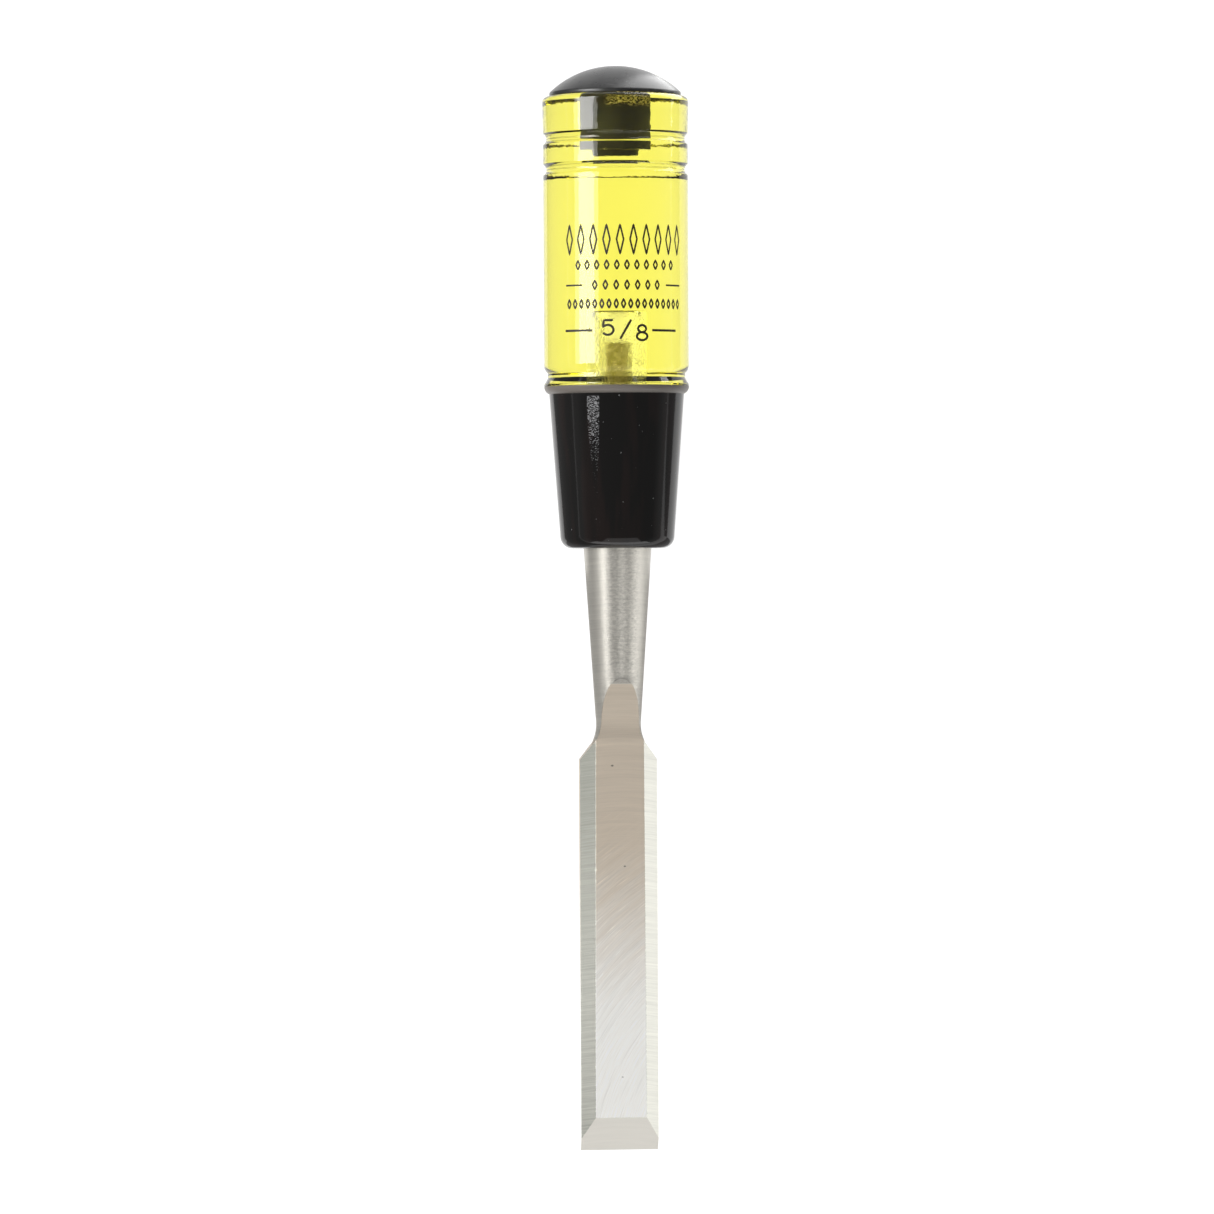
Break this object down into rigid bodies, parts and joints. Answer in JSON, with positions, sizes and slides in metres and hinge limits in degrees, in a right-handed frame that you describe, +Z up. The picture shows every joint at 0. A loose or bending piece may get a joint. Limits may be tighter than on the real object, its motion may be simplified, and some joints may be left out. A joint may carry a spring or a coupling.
{
  "type": "bench chisel",
  "caption": "Bevel-edged bench chisel with a clear amber plastic handle, a black tapered collar and a black domed strike cap.",
  "frame": {"origin": "on the tool's axis, in the middle of the plain grip of the handle", "axes": "+Y along the axis from the cutting edge to the strike cap, +X across the blade, +Z up out of the bevelled face, so the flat back faces -Z as when the tool lies on a bench"},
  "size_m": [0.0298, 0.2208, 0.0298],
  "materials": {
    "blade_steel": "ground and brushed, fine cross grain with light use scratches",
    "collar_plastic": "gloss black with fine mould texture",
    "handle_plastic": "polished transparent amber-yellow acetate",
    "cap_plastic": "satin black, slightly scuffed by strikes"
  },
  "bodies": {
    "root": {"blade": "blade_steel", "collar": "collar_plastic", "handle": "handle_plastic", "strike_cap": "cap_plastic"}
  },
  "joints": []
}
